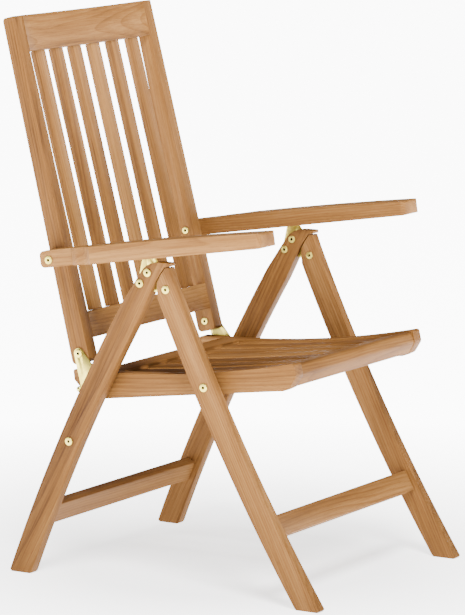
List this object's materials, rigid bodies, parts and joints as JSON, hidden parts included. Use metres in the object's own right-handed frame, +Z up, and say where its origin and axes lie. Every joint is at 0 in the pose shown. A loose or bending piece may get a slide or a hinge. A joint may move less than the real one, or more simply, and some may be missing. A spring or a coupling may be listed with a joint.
{
  "type": "folding armchair",
  "caption": "Folding reclining armchair with a slatted teak seat and back, curved crossed legs, flat arms and brass pivot fittings.",
  "frame": {"origin": "on the floor, under the middle of the chair's footprint", "axes": "+Z up, +Y towards the back of the chair, +X across it towards the sitter's left"},
  "size_m": [0.622, 0.7238, 1.0717],
  "materials": {
    "teak": "smooth sanded, lightly oiled",
    "brass": "bright, lightly brushed"
  },
  "bodies": {
    "rear_frame": {"rear_leg_left": "teak", "rear_leg_right": "teak", "hinge_plate_left": "brass", "hinge_plate_right": "brass", "plate_upper_bolt_left": "brass", "plate_upper_bolt_right": "brass", "plate_lower_bolt_left": "brass", "plate_lower_bolt_right": "brass", "leg_hinge_bolt_left": "brass", "leg_hinge_bolt_right": "brass", "rear_stretcher": "teak"},
    "front_frame": {"front_leg_left": "teak", "front_leg_right": "teak", "front_stretcher": "teak"},
    "seat_frame": {"seat_side_rail_left": "teak", "seat_side_rail_right": "teak", "corner_bracket_left": "brass", "corner_bracket_right": "brass", "seat_pivot_bolt_left": "brass", "seat_pivot_bolt_right": "brass", "seat_front_rail": "teak", "seat_rear_rail": "teak", "seat_slat_1": "teak", "seat_slat_2": "teak", "seat_slat_3": "teak", "seat_slat_4": "teak", "seat_slat_5": "teak", "seat_slat_6": "teak"},
    "strap_links": {"seat_strap_left": "brass", "seat_strap_right": "brass", "strap_pin_left": "brass", "strap_pin_right": "brass", "strap_bolt_left": "brass", "strap_bolt_right": "brass"},
    "back_bolts": {"back_pivot_bolt_left": "brass", "back_pivot_bolt_right": "brass", "back_pivot_nut_left": "brass", "back_pivot_nut_right": "brass"},
    "back_frame": {"back_stile_left": "teak", "back_stile_right": "teak", "back_top_rail": "teak", "back_bottom_rail": "teak", "back_slat_1": "teak", "back_slat_2": "teak", "back_slat_3": "teak", "back_slat_4": "teak", "back_slat_5": "teak", "back_slat_6": "teak"},
    "arm_bolts": {"arm_pivot_bolt_left": "brass", "arm_pivot_bolt_right": "brass", "arm_pivot_nut_left": "brass", "arm_pivot_nut_right": "brass"},
    "arm_frame": {"arm_left": "teak", "arm_right": "teak", "track_plate_left": "brass", "track_plate_right": "brass"}
  },
  "joints": [
    {"name": "fold", "type": "hinge", "parent": "rear_frame", "child": "front_frame", "pos_m": [0, -0.02987, 0.5777], "axis": [1, 0, 0], "range_deg": [0, 51.8]},
    {"name": "seat_fold", "type": "hinge", "parent": "front_frame", "child": "seat_frame", "pos_m": [0, -0.11287, 0.3997], "axis": [1, 0, 0], "range_deg": [-84.91, 0]},
    {"name": "strap_fold", "type": "hinge", "parent": "rear_frame", "child": "strap_links", "pos_m": [0, 0.18613, 0.2682], "axis": [1, 0, 0], "range_deg": [-125.35, 0]},
    {"name": "back_fold", "type": "hinge", "parent": "seat_frame", "child": "back_bolts", "pos_m": [0, 0.18543, 0.4334], "axis": [1, 0, 0], "range_deg": [0, 85.61]},
    {"name": "back_recline", "type": "hinge", "parent": "back_bolts", "child": "back_frame", "pos_m": [0, 0.18543, 0.4334], "axis": [-1, 0, 0], "range_deg": [0, 40]},
    {"name": "arm_fold", "type": "hinge", "parent": "back_frame", "child": "arm_bolts", "pos_m": [0, 0.23118, 0.6142], "axis": [1, 0, 0], "range_deg": [-99.5, 0]},
    {"name": "arm_recline", "type": "hinge", "parent": "arm_bolts", "child": "arm_frame", "pos_m": [0, 0.23118, 0.6142], "axis": [1, 0, 0], "range_deg": [0, 30.6]}
  ],
  "couplings": [
    {"joint": "seat_fold", "follows": "fold", "ratio": -1.6353},
    {"joint": "strap_fold", "follows": "fold", "ratio": -2.416},
    {"joint": "back_fold", "follows": "fold", "ratio": 1.6488},
    {"joint": "arm_fold", "follows": "fold", "ratio": -1.917},
    {"joint": "arm_recline", "follows": "back_recline", "ratio": 0.76}
  ]
}
